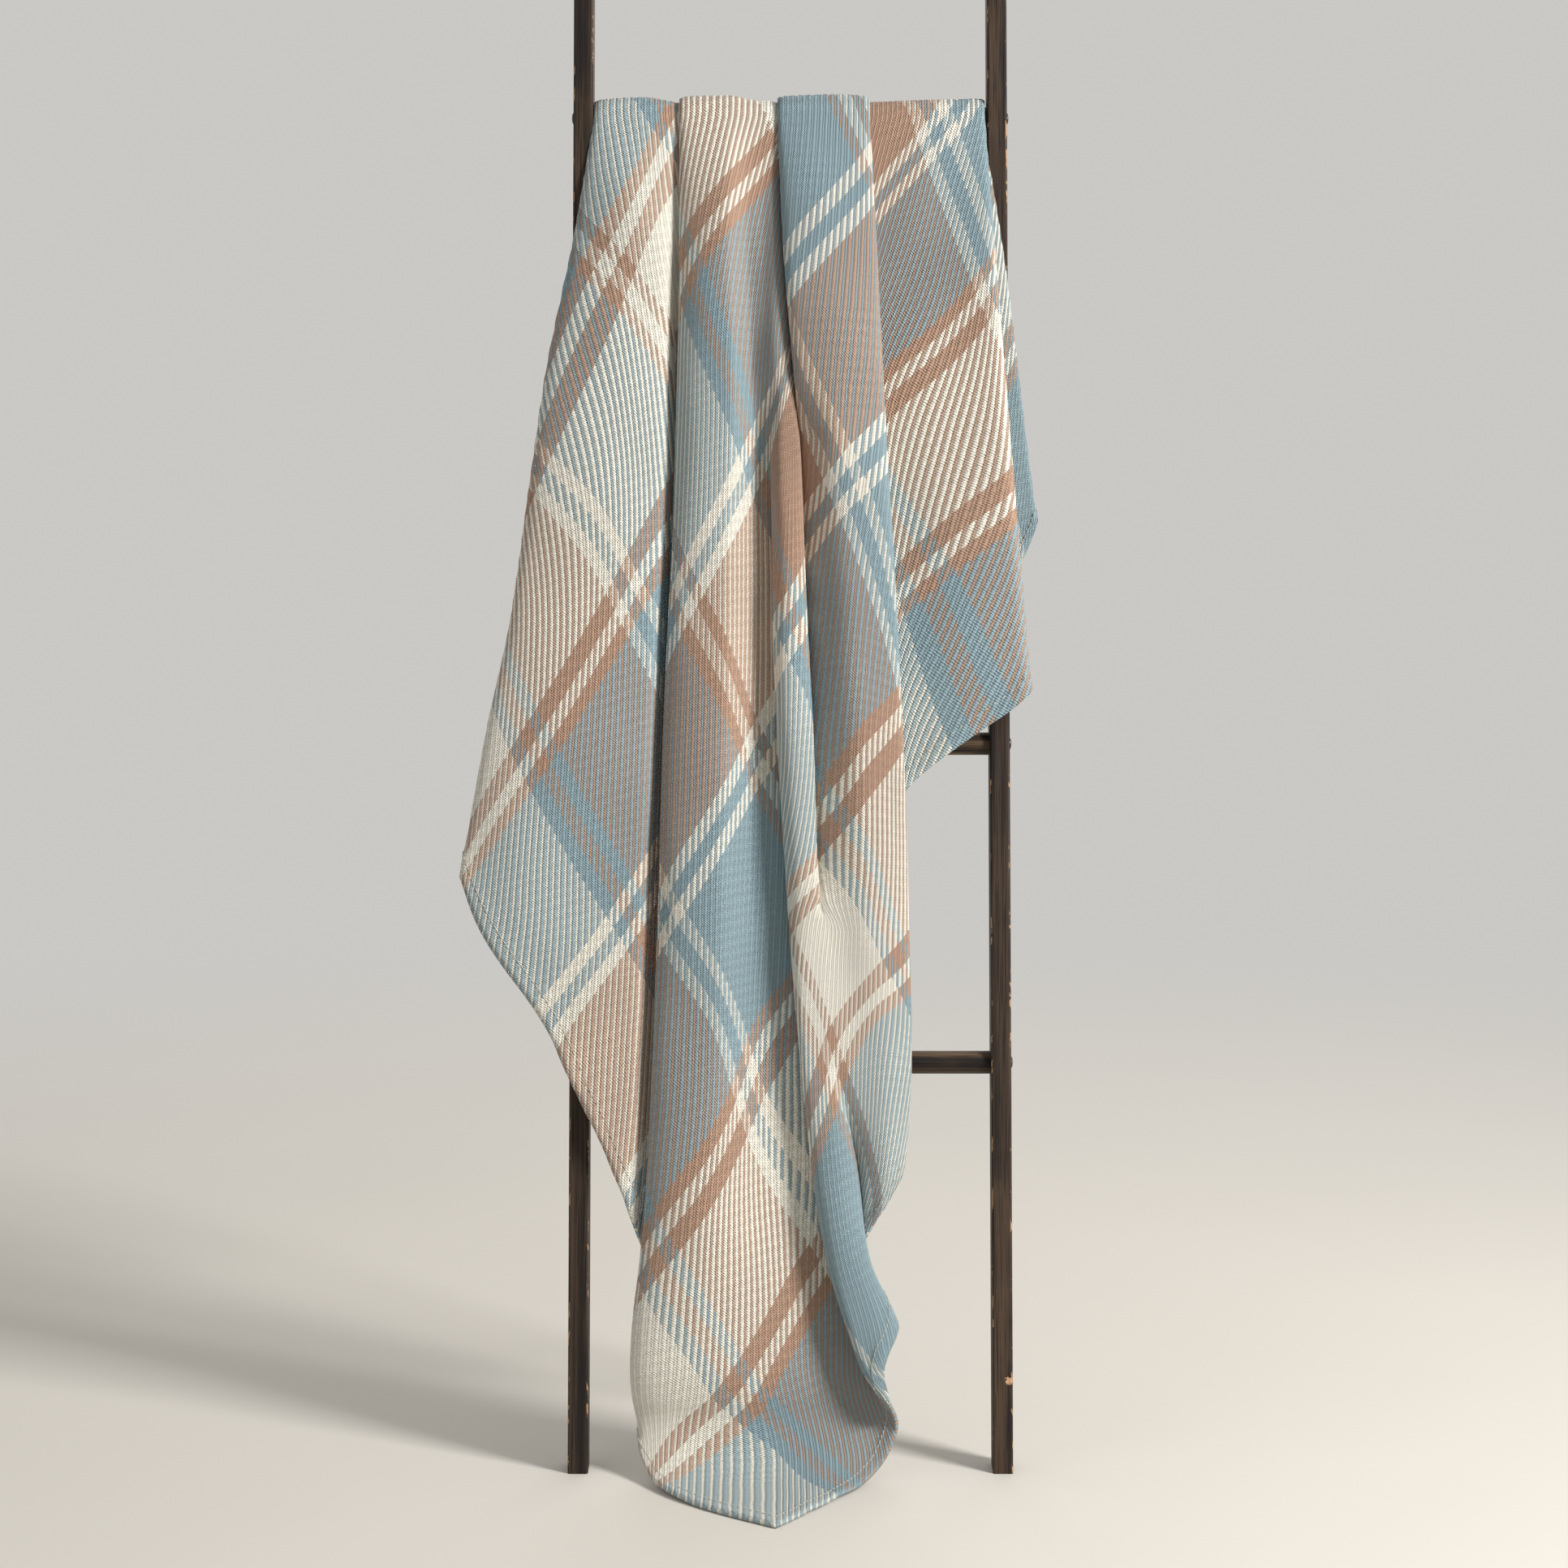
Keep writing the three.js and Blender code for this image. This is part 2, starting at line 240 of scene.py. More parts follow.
# How far down the cloth a point is, by mm of path from the corner that lies on the floor.
DOWN_BY_PATH = [
    (0, 0), (241, 334), (389, 512), (558, 698), (619, 754), (736, 906), (905, 1114), (1067, 1300),
    (1152, 1400), (1219, 1478), (1320, 1585), (1415, 1686), (1445, 1720), (1583, 1880), (1640, 1945),
    (2530, 3039),
]
SLOPE_TO_PATH = 167  # path length minus length up the slope
# How much lower than the left-hand folds the cloth hangs along a line, by mm up the slope.
SLIPS = {
    "fold2_crest": [(75, 0), (1430, 0)],
    "valley": [(75, 0), (435, 8), (1430, 8)],
    "ridge_mid": [(75, 0), (220, 8), (435, 15), (580, 26), (900, 20), (1430, 8)],
    "fold3_left": [(220, 8), (435, 22), (455, 24), (520, 40), (635, 54), (900, 30), (1430, 15)],
    "fold3_crest": [(220, 10), (435, 30), (520, 60), (635, 56), (900, 42), (1430, 38)],
    "fold3_right": [(220, 10), (310, 15), (435, 60), (525, 88), (870, 88), (1050, 60), (1430, 60)],
    "fold4_left": [(435, 150), (765, 150), (930, 147), (1235, 170), (1395, 192)],
    "flap_back": [(435, 150), (765, 150), (930, 147), (1235, 170), (1395, 192)],
}

FLOOR_BEND = 90.0  # radius of the bend where the hanging cloth meets the floor
FLOOR_GAP = 3.2  # the least height of the middle of the cloth
PATH_END = 2700.0
PATH_STEP = 4.0
ACROSS_STEP = 4.0
PATHS = np.arange(0.0, PATH_END, PATH_STEP)
ACROSSES = np.arange(-CUT_S - 20.0, CUT_T + 20.0, ACROSS_STEP)


def slopes(xs, ys):
    """Slopes of the monotone cubic through the points, one for each column of ys."""
    steps = np.diff(xs)[:, None]
    secants = np.diff(ys, axis=0) / steps
    before, after = secants[:-1], secants[1:]
    same_way = before * after > 0
    w1 = 2 * steps[1:] + steps[:-1]
    w2 = steps[1:] + 2 * steps[:-1]
    safe_before = np.where(same_way, before, 1.0)
    safe_after = np.where(same_way, after, 1.0)
    inner = np.where(same_way, (w1 + w2) / (w1 / safe_before + w2 / safe_after), 0.0)
    return np.concatenate([secants[:1], inner, secants[-1:]])


def hermite(t, h, y0, y1, slope0, slope1):
    """The cubic between two keys that are h apart, at a share t of the way."""
    return (
        (1 + 2 * t) * (1 - t) ** 2 * y0
        + t * (1 - t) ** 2 * h * slope0
        + t * t * (3 - 2 * t) * y1
        + t * t * (t - 1) * h * slope1
    )


def smooth(keys, at):
    """Monotone cubic through keys, rows of (x, y, ...), held level before the first and after the last."""
    keys = np.array(sorted(keys), float)
    xs, ys = keys[:, 0], keys[:, 1:]
    grads = slopes(xs, ys)
    x = np.clip(at, xs[0], xs[-1])
    i = np.clip(np.searchsorted(xs, x, side="right") - 1, 0, len(xs) - 2)
    h = (xs[i + 1] - xs[i])[:, None]
    t = (x - xs[i])[:, None] / h
    return hermite(t, h, ys[i], ys[i + 1], grads[i], grads[i + 1])


def ease(x, low, high):
    """A smooth step from 0 at low to 1 at high. It falls where low is the larger."""
    t = np.clip((x - low) / (high - low), 0, 1)
    return t * t * (3 - 2 * t)


# ---------------------------------------------------------------- the path from floor to back


DOWN_SLOPE = np.array([-math.sin(LEAN), -math.cos(LEAN)])
OFF_SLOPE = np.array([-math.cos(LEAN), math.sin(LEAN)])
BEND_ANGLE = math.pi / 2 - LEAN
BEND_REACH = FLOOR_BEND * math.tan(BEND_ANGLE / 2)
SLOPE_FOOT = np.array([-RUNG_RADIUS / math.cos(LEAN), 0.0])
BEND_START = SLOPE_FOOT + np.array([-BEND_REACH, 0.0])
BEND_CENTRE = BEND_START + np.array([0.0, FLOOR_BEND])
BEND_END = SLOPE_FOOT - DOWN_SLOPE * BEND_REACH
RUNG_MIDDLE = -DOWN_SLOPE * RUNG_ALONG

# Path lengths at which the bend starts and ends, the cloth reaches the rung, and it leaves it.
BEND_TOP = BEND_END @ -DOWN_SLOPE + SLOPE_TO_PATH
BEND_LOW = BEND_TOP - FLOOR_BEND * BEND_ANGLE
RUNG_LOW = RUNG_ALONG + SLOPE_TO_PATH
RUNG_HIGH = RUNG_LOW + (math.pi - LEAN) * WRAP_RADIUS


def path_frame(path):
    """Point on the path and its outward normal, as (y, z) pairs in mm, y from the foot of the ladder."""
    if path < BEND_LOW:
        return BEND_START + np.array([path - BEND_LOW, 0.0]), np.array([0.0, 1.0])
    if path < BEND_TOP:
        angle = (path - BEND_LOW) / FLOOR_BEND
        normal = np.array([-math.sin(angle), math.cos(angle)])
        return BEND_CENTRE - FLOOR_BEND * normal, normal
    if path < RUNG_LOW:
        return BEND_END - DOWN_SLOPE * (path - BEND_TOP), OFF_SLOPE
    if path < RUNG_HIGH:
        angle = math.pi - LEAN - (path - RUNG_LOW) / WRAP_RADIUS
        normal = np.array([math.cos(angle), math.sin(angle)])
        return RUNG_MIDDLE + RUNG_RADIUS * normal, normal
    return RUNG_MIDDLE + np.array([RUNG_RADIUS, RUNG_HIGH - path]), np.array([1.0, 0.0])


# ---------------------------------------------------------------- the folds


TURN = 12  # half of the cloth that goes round a fold's edge
TURN_SHARE = 0.35  # the most that it takes of the gap to the next line
TURN_PULL = 0.62  # how far sideways it runs where the cloth folds back, as a share of a flat run
LINE_GAP = 4.0  # the least cloth between two lines
LINE_STEP = 1e-3  # a little cloth added from line to line, so that no two start level
LEVEL = 0.5  # mm of stand-off that a line may differ by on its two sides and still be flat there


def section(across, offset, before, after):
    """Nodes (cloth across, mm sideways, mm stand-off) of one level, with each fold's edge rounded."""
    gaps = np.diff(across)
    sides = np.diff(offset) / gaps
    nodes = []
    for k in range(len(across)):
        k_left, k_right = max(k - 1, 0), min(k, len(gaps) - 1)
        left, right = sides[k_left], sides[k_right]
        if left * right >= 0 and abs(before[k] - after[k]) <= LEVEL:
            nodes.append((across[k], offset[k], before[k]))
            continue
        width = min(TURN, TURN_SHARE * min(gaps[k_left], gaps[k_right]))
        run = width * (1.0 if left * right > 0 else TURN_PULL)
        nodes.append((across[k] - width, offset[k] - left * run, before[k]))
        nodes.append((across[k], offset[k], (before[k] + after[k]) / 2))
        nodes.append((across[k] + width, offset[k] + right * run, after[k]))
    return np.array(nodes)


def fold_row(points):
    """Sideways place and stand-off all across one level, from the point of each fold line there."""
    across = points[:, 0] + LINE_STEP * np.arange(len(points))
    for k in range(1, len(across)):
        across[k] = max(across[k], across[k - 1] + LINE_GAP)
    nodes = section(across, *points[:, 1:].T)
    xs, ys = nodes[:, 0], nodes[:, 1:]
    grads = slopes(xs, ys)
    i = np.clip(np.searchsorted(xs, ACROSSES, side="right") - 1, 0, len(xs) - 2)
    h = (xs[i + 1] - xs[i])[:, None]
    share = (ACROSSES - xs[i])[:, None] / h
    t = np.clip(share, 0, 1)
    inside = hermite(t, h, ys[i], ys[i + 1], grads[i], grads[i + 1])
    sideways_only = np.array([1.0, 0.0])
    beyond = (share - t) * h * np.where(share < 0, grads[0], grads[-1]) * sideways_only
    return (inside + beyond).T


def fold_tables():
    """Sideways place and stand-off over a grid of path and cloth across."""
    lines = [smooth(keys, PATHS - SLOPE_TO_PATH) for keys in FOLD_LINES.values()]
    rows = np.array([fold_row(points) for points in np.stack(lines, axis=1)])
    return rows[:, 0], rows[:, 1]


TAIL = (275, 165)  # path where the corner on the floor begins to lie flat, and where it does
TAIL_TIP = 60  # path over which the tip's unevenness grows
TAIL_MIDDLE = -14  # mm sideways of the tip
TAIL_LEFT = (155, 165)  # mm sideways that the left half tends to, and the cloth it does so over
TAIL_RIGHT = 0.49  # mm sideways for each unit of the right half
TAIL_LIFT = 2.2  # mm that the tail stands off the floor, away from its ripples
TIP_LIFT = 0.2  # the same at the very tip
TAIL_RIPPLES = [(5.0, -165), (2.0, 120)]  # height and middle of each
RIPPLE_WIDTH = 60
TAIL_CURL = (26, 200, 330)  # height of the right edge's curl, and the cloth it rises over


def shape_floor(sideways, stand_off):
    """The corner that lies on the floor: nearly flat, and spread wider than the hanging folds."""
    flat = ease(PATHS, *TAIL)[:, None]
    reach, scale = TAIL_LEFT
    left = reach * np.tanh(np.minimum(ACROSSES, 0) / scale)
    spread = TAIL_MIDDLE + left + TAIL_RIGHT * np.maximum(ACROSSES, 0)
    height, *edge = TAIL_CURL
    lift = TAIL_LIFT + height * ease(ACROSSES, *edge)
    for height, middle in TAIL_RIPPLES:
        lift = lift + height * np.exp(-(((ACROSSES - middle) / RIPPLE_WIDTH) ** 2))
    lift = lift * ease(PATHS, 0, TAIL_TIP)[:, None] + TIP_LIFT
    return sideways * (1 - flat) + spread * flat, stand_off * (1 - flat) + lift * flat


BACK_START = 1640  # path where the back fall starts to change its shape
BACK_SWING = 1900  # path where the folds have taken up their own depth there
BACK_OPEN = 2620  # path where they have opened out, as far as they do
BACK_SHARE = 0.75  # how much of the way to the open shape that is
BACK_MIDDLE = 80  # mm sideways of the middle rib in the open shape
BACK_SPREAD = 0.36  # mm sideways for each unit across
BACK_WAVE = (10, 7)  # mean and height of the cloth's own waves there


def shape_back(sideways, stand_off):
    """Behind the rung the pleats hang on and open out towards the corner."""
    top = int(RUNG_LOW / PATH_STEP)
    fallen = ease(PATHS, BACK_START, BACK_OPEN)[:, None] * BACK_SHARE
    swing = ease(PATHS, BACK_START, BACK_SWING)[:, None]
    opened = BACK_MIDDLE + BACK_SPREAD * (ACROSSES - (CUT_T - CUT_S))
    mean, height = BACK_WAVE
    wave = mean + height * np.sin(ACROSSES / 62.0 + 0.6 * np.sin(ACROSSES / 140.0))
    back_x = sideways[top] * (1 - fallen) + opened * fallen
    back_off = stand_off[top] * (1 - swing) + (0.5 * stand_off[top] + wave) * swing
    behind = (PATHS > RUNG_LOW)[:, None]
    return np.where(behind, back_x, sideways), np.where(behind, back_off, stand_off)


TAIL_LAG = (4, 14)  # units by which the left and right halves of the tail lag, at LAG_AT across
LAG_AT = 230.0
LAG_PATHS = (330, 150)  # path where the lag starts, and where it is full
MOST_LAG = 60


def slip_table():
    """Extra cloth that each rib has slipped down by, over the same grid."""
    slope = PATHS - SLOPE_TO_PATH
    across = np.stack([smooth(FOLD_LINES[name], slope)[:, 0] for name in SLIPS], axis=1)
    slips = np.stack([smooth(keys, slope)[:, 0] for keys in SLIPS.values()], axis=1)
    table = np.stack([np.interp(ACROSSES, *pair) for pair in zip(across, slips)])
    lag = np.where(ACROSSES < 0, *TAIL_LAG) * (ACROSSES / LAG_AT) ** 2 * ease(PATHS, *LAG_PATHS)[:, None]
    return table - np.minimum(lag, MOST_LAG)


def look_up(table, path, across):
    """Bilinear reading of a table at many points."""
    i = np.clip(path / PATH_STEP, 0, len(PATHS) - 1.001)
    j = np.clip((across - ACROSSES[0]) / ACROSS_STEP, 0, len(ACROSSES) - 1.001)
    i0, j0 = i.astype(int), j.astype(int)
    a, b = i - i0, j - j0
    low = table[i0, j0] * (1 - b) + table[i0, j0 + 1] * b
    high = table[i0 + 1, j0] * (1 - b) + table[i0 + 1, j0 + 1] * b
    return low * (1 - a) + high * a


PATH_PER_DOWN = 0.8  # path gained for each unit down, beyond the last of DOWN_BY_PATH
SETTLE_ROUNDS = 12


def path_of(down, across, slip):
    """Path length at which each point of the cloth lies."""
    last_path, last_down = DOWN_BY_PATH[-1]
    fine = np.arange(0.0, PATH_END, 2.0)
    beyond = last_down + (fine - last_path) / PATH_PER_DOWN
    reach = np.where(fine > last_path, beyond, smooth(DOWN_BY_PATH, fine)[:, 0])
    path = np.interp(down, reach, fine)
    for _ in range(SETTLE_ROUNDS):
        path = 0.5 * path + 0.5 * np.interp(down - look_up(slip, path, across), reach, fine)
    return path


def place(path, sideways, stand_off):
    """Places points given by path, mm sideways and mm stand-off, in metres in the frame."""
    fine = np.arange(0.0, PATH_END, 1.0)
    points, normals = (np.array(rows) for rows in zip(*[path_frame(p) for p in fine]))
    y, z = [
        np.interp(path, fine, points[:, k]) + stand_off * np.interp(path, fine, normals[:, k])
        for k in range(2)
    ]
    z = np.maximum(z, FLOOR_GAP)
    return np.stack([MIDDLE_X + sideways / 1000, FOOT_Y + y / 1000, z / 1000], axis=1)


def hem_distance(s, t):
    """How far points of the flat cloth are from the nearest of its four edges."""
    return np.minimum(np.minimum(s, CUT_S - s), np.minimum(t, CUT_T - t))


BROAD_CRUMPLE, FINE_CRUMPLE, PUCKER = 1.3, 0.8, 1.3  # mm
PUCKER_REACH = 28  # how fast the puckers die away from the hem


def crumple(s, t):
    """Small unevenness of the hanging cloth and the puckers along its hems, mm of stand-off."""
    down, across = s + t, t - s
    broad = np.sin(down / 61 + 1.7 * np.sin(across / 97)) * np.sin(across / 53 + down / 210)
    fine = np.sin(down / 29 + across / 37 + 2.0) * np.sin(across / 71 - down / 90)
    pucker = np.sin(across / 9.5 + 1.3 * np.sin(down / 47)) * (0.6 + 0.4 * np.sin(across / 61))
    pucker *= np.exp(-hem_distance(s, t) / PUCKER_REACH)
    return BROAD_CRUMPLE * broad + FINE_CRUMPLE * fine + PUCKER * pucker


def hung_tables():
    """The whole hang of the cloth, as tables of sideways place, stand-off and slip."""
    sideways, stand_off = fold_tables()
    sideways, stand_off = shape_floor(sideways, stand_off)
    sideways, stand_off = shape_back(sideways, stand_off)
    return sideways, stand_off, slip_table()


SIDEWAYS, STAND_OFF, SLIP = hung_tables()
FREE_STAND_OFF = (6, 18)  # the crumpling starts and is full where the cloth stands off this far
TAIL_CRUMPLE = 0.7  # share of the crumpling that the tail has
TAIL_CRUMPLE_PATHS = (200, 120)  # path where that starts, and where it is full


def cloth_points(s, t):
    """Where points of the flat cloth hang, in metres in the frame."""
    down, across = s + t, t - s
    path = path_of(down, across, SLIP)
    off = look_up(STAND_OFF, path, across)
    loose = ease(off, *FREE_STAND_OFF) + ease(path, *TAIL_CRUMPLE_PATHS) * TAIL_CRUMPLE
    return place(path, look_up(SIDEWAYS, path, across), off + crumple(s, t) * np.minimum(loose, 1))


def new_object(name, points, faces):
    mesh = bpy.data.meshes.new(name)
    mesh.from_pydata([tuple(p) for p in points], [], faces)
    mesh.update()
    made = bpy.data.objects.new(name, mesh)
    bpy.context.scene.collection.objects.link(made)
    return made


def shade_smooth(mesh):
    mesh.polygons.foreach_set("use_smooth", np.ones(len(mesh.polygons), bool))


def grid_faces(rows, columns):
    """The corners of each cell of a grid whose points are numbered row by row."""
    corner = (np.arange(rows - 1)[:, None] * columns + np.arange(columns - 1)[None, :]).ravel()
    return np.stack([corner, corner + columns, corner + columns + 1, corner + 1], axis=1).tolist()


def store_cut(mesh, s, t):
    """Stores where each point lies in the flat cloth, from 0 to 1 both ways, as the UV map."""
    corners = np.zeros(len(mesh.loops), np.int32)
    mesh.loops.foreach_get("vertex_index", corners)
    cut = np.stack([s / CUT_S, t / CUT_T], axis=1)[corners].astype(np.float32)
    mesh.uv_layers.new(name="cut").data.foreach_set("uv", cut.ravel())


def thicken(made, s, t):
    """Gives the sheet its thickness, and the turned hem more of it."""
    in_hem = hem_distance(s, t) < HEM_WIDTH
    weights = made.vertex_groups.new(name="thickness")
    for where, value in ((in_hem, 1.0), (~in_hem, SINGLE_SHARE)):
        weights.add(np.flatnonzero(where).tolist(), value, "REPLACE")
    solid = made.modifiers.new("thickness", "SOLIDIFY")
    solid.thickness = CLOTH_THICKNESS / SINGLE_SHARE
    solid.offset = 0
    solid.vertex_group = weights.name


def make_throw():
    """The whole cloth as one sheet, with its thickness and its turned hem."""
    s_values = np.linspace(0, CUT_S, int(CUT_S / GRID) + 1)
    t_values = np.linspace(0, CUT_T, int(CUT_T / GRID) + 1)
    s, t = (grid.ravel() for grid in np.meshgrid(s_values, t_values, indexing="ij"))
    made = new_object("plaid_throw", cloth_points(s, t), grid_faces(len(s_values), len(t_values)))
    store_cut(made.data, s, t)
    shade_smooth(made.data)
    thicken(made, s, t)
    return made


STITCH_PITCH = 7.0
STITCH_IN = 16.0  # from the edge of the cloth to the row of stitches
STITCH_SIDES = 6
STITCH_HALF = 0.0023  # m, half the length of a stitch
STITCH_RADIUS = 0.00055  # m
STITCH_HEIGHT = 0.002236  # m, from the middle of the hem to its face
STITCH_RISE = 0.0003  # m that the middle of a stitch rises above its ends
PROBE = 2  # a step in the flat cloth, to find which way it runs
# A stitch's rings: (place along it from -1 to 1, share of its full radius, share of its height).
STITCH_RINGS = [(-1.0, 0.15, 0.0), (-0.55, 0.85, 0.8), (0.0, 1.0, 1.0), (0.55, 0.85, 0.8), (1.0, 0.15, 0.0)]


def stitch_middles():
    """Middles of the stitches in the flat cloth, and the way each one runs, round all four hems."""
    s_run = np.arange(STITCH_IN, CUT_S - STITCH_IN, STITCH_PITCH)
    t_run = np.arange(STITCH_IN, CUT_T - STITCH_IN, STITCH_PITCH)
    rows = [(s, t, 1, 0) for t in (STITCH_IN, CUT_T - STITCH_IN) for s in s_run]
    rows += [(s, t, 0, 1) for s in (STITCH_IN, CUT_S - STITCH_IN) for t in t_run]
    return np.array(rows, float).T


def unit(vectors):
    return vectors / np.maximum(np.linalg.norm(vectors, axis=1, keepdims=True), 1e-9)


def bead_points(middle, along, beside, out):
    """Rings of points for the two beads of each stitch, one on each face of the cloth."""
    points = []
    for face in (1, -1):
        for run, share, lift in STITCH_RINGS:
            centre = middle + along * run * STITCH_HALF
            centre = centre + out * face * (STITCH_HEIGHT + STITCH_RISE * lift)
            for k in range(STITCH_SIDES):
                turn = 2 * math.pi * k / STITCH_SIDES
                spoke = beside * math.cos(turn) + out * math.sin(turn)
                points.append(centre + share * STITCH_RADIUS * spoke)
    return np.stack(points, axis=1)


def bead_faces():
    """The faces that join the rings of one stitch's two beads."""
    faces = []
    for face in range(2):
        for ring in range(len(STITCH_RINGS) - 1):
            first = (face * len(STITCH_RINGS) + ring) * STITCH_SIDES
            for k in range(STITCH_SIDES):
                a, b = first + k, first + (k + 1) % STITCH_SIDES
                faces.append((a, b, b + STITCH_SIDES, a + STITCH_SIDES))
    return np.array(faces)


def make_stitching():
    """The line of thread that holds the turned hem, as small beads on both faces of the cloth."""
    s, t, ds, dt = stitch_middles()
    middle = cloth_points(s, t)
    along = unit(cloth_points(s + ds * PROBE, t + dt * PROBE) - middle)
    beside = unit(cloth_points(s + dt * PROBE, t + ds * PROBE) - middle)
    points = bead_points(middle, along, beside, unit(np.cross(along, beside)))
    count, each = points.shape[:2]
    faces = bead_faces()[None] + (np.arange(count) * each)[:, None, None]
    made = new_object("hem_stitching", points.reshape(-1, 3), faces.reshape(-1, 4).tolist())
    shade_smooth(made.data)
    return made


# ---------------------------------------------------------------- materials


def linear(hex_colour):
    """A colour written as sRGB hex, as linear RGBA."""
    parts = [int(hex_colour[k : k + 2], 16) / 255 for k in (0, 2, 4)]
    return (*[c / 12.92 if c <= 0.04045 else ((c + 0.055) / 1.055) ** 2.4 for c in parts], 1.0)


class Tree:
    """A material's node tree, with short ways to add nodes."""

    def __init__(self, name):
        self.material = bpy.data.materials.new(name)
        self.material.use_nodes = True
        self.nodes = self.material.node_tree.nodes
        self.links = self.material.node_tree.links
        self.nodes.clear()
        self.shader = self.nodes.new("ShaderNodeBsdfPrincipled")
        output = self.nodes.new("ShaderNodeOutputMaterial")
        self.links.new(self.shader.outputs["BSDF"], output.inputs["Surface"])

    def put(self, socket, value):
        if isinstance(value, bpy.types.NodeSocket):
            self.links.new(value, socket)
        else:
            socket.default_value = value

    def math(self, operation, *values, clamp=False):
        node = self.nodes.new("ShaderNodeMath")
        node.operation = operation
        node.use_clamp = clamp
        for k, value in enumerate(values):
            self.put(node.inputs[k], value)
        return node.outputs[0]

    def remap(self, value, low, high, to_low=0.0, to_high=1.0, kind="SMOOTHSTEP"):
        node = self.nodes.new("ShaderNodeMapRange")
        node.interpolation_type = kind
        for k, number in enumerate((value, low, high, to_low, to_high)):
            self.put(node.inputs[k], number)
        return node.outputs["Result"]

    def mix(self, share, first, second, blend="MIX"):
        node = self.nodes.new("ShaderNodeMix")
        node.data_type = "RGBA"
        node.blend_type = blend
        self.put(node.inputs["Factor"], share)
        self.put(node.inputs["A"], first)
        self.put(node.inputs["B"], second)
        return node.outputs["Result"]

    def noise(self, vector, scale, detail=2.0, roughness=0.5):
        node = self.nodes.new("ShaderNodeTexNoise")
        node.inputs["Scale"].default_value = scale
        node.inputs["Detail"].default_value = detail
        node.inputs["Roughness"].default_value = roughness
        self.links.new(vector, node.inputs["Vector"])
        return node.outputs["Fac"]

    def stretch(self, vector, scale, rotation=(0, 0, 0), location=(0, 0, 0)):
        node = self.nodes.new("ShaderNodeMapping")
        node.inputs["Location"].default_value = location
        node.inputs["Rotation"].default_value = rotation
        node.inputs["Scale"].default_value = scale
        self.links.new(vector, node.inputs["Vector"])
        return node.outputs["Vector"]

    def combine(self, x, y, z=0.0):
        node = self.nodes.new("ShaderNodeCombineXYZ")
        for k, value in enumerate((x, y, z)):
            self.put(node.inputs[k], value)
        return node.outputs["Vector"]

    def split(self, vector):
        node = self.nodes.new("ShaderNodeSeparateXYZ")
        self.links.new(vector, node.inputs["Vector"])
        return node.outputs

    def coordinates(self, kind):
        return self.nodes.new("ShaderNodeTexCoord").outputs[kind]

    def bump(self, height, distance, strength=1.0):
        node = self.nodes.new("ShaderNodeBump")
        node.inputs["Distance"].default_value = distance
        node.inputs["Strength"].default_value = strength
        self.links.new(height, node.inputs["Height"])
        self.links.new(node.outputs["Normal"], self.shader.inputs["Normal"])

    def stripes(self, position, sett, colours):
        """Colour of a striped warp or weft at a position from 0 to 1."""
        node = self.nodes.new("ShaderNodeValToRGB")
        ramp = node.color_ramp
        ramp.interpolation = "CONSTANT"
        total = sum(width for width, _ in sett)
        at = 0
        for k, (width, colour) in enumerate(sett):
            stop = ramp.elements[0] if k == 0 else ramp.elements.new(at / total)
            if k == 0:
                ramp.elements.remove(ramp.elements[1])
            stop.position = at / total
            stop.color = colours[colour]
            at += width
        self.links.new(position, node.inputs["Fac"])
        return node.outputs["Color"]


YARN = {CREAM: linear("eeeadd"), BLUE: linear("8fa7b0"), TAN: linear("b7957f")}


PICK = 1.9  # half of the weave's step along a rib
PICK_SHIFT = 0.07  # how far a rib's edge shifts over it, as a share of the rib
S_PART = 0.63  # the S yarn's share of a rib's width
TWIST = (0.45, 2.1, 0.30)  # slant of the yarn's twist across the rib, its frequency and its height
FUZZ_HEIGHT = 0.9


def rib_place(tree, down, across):
    """How far across its rib a point lies, from 0 to 1."""
    shift = tree.math("MULTIPLY", tree.math("PINGPONG", down, PICK), PICK_SHIFT)
    return tree.math("FRACT", tree.math("ADD", tree.math("DIVIDE", across, RIB), shift))


def sett_colour(tree, s, t, rib):
    """The plaid: along each rib most of the face is the S yarn's stripe, and the rest the T yarn's."""
    rising = tree.remap(rib, 0.0, 0.06)
    falling = tree.remap(rib, S_PART - 0.03, S_PART + 0.03, 1.0, 0.0)
    is_s = tree.remap(tree.math("MULTIPLY", rising, falling), 0.0, 1.0, 0.08, 0.92, "LINEAR")
    s_colour = tree.stripes(tree.math("DIVIDE", s, CUT_S), SETT_S, YARN)
    t_colour = tree.stripes(tree.math("FRACT", tree.math("DIVIDE", t, SETT_T_REPEAT)), SETT_T, YARN)
    return tree.mix(is_s, t_colour, s_colour)


def weave_height(tree, rib, down, across, fuzz):
    """Height of the weave: two round yarns to a rib, their twist, and the fuzz on them."""
    s_arc = tree.math("MULTIPLY", tree.math("DIVIDE", rib, S_PART, clamp=True), math.pi)
    t_place = tree.math("DIVIDE", tree.math("SUBTRACT", rib, S_PART), 1 - S_PART, clamp=True)
    t_arc = tree.math("MULTIPLY", t_place, math.pi)
    t_round = tree.math("MULTIPLY", tree.math("SINE", t_arc), 0.6)
    rounds = tree.math("MAXIMUM", tree.math("SINE", s_arc), t_round)
    slant, frequency, twist_height = TWIST
    slanted = tree.math("ADD", down, tree.math("MULTIPLY", across, slant))
    twist = tree.math("SINE", tree.math("MULTIPLY", slanted, frequency))
    height = tree.math("ADD", rounds, tree.math("MULTIPLY", twist, twist_height))
    return tree.math("ADD", height, tree.math("MULTIPLY", fuzz, FUZZ_HEIGHT))


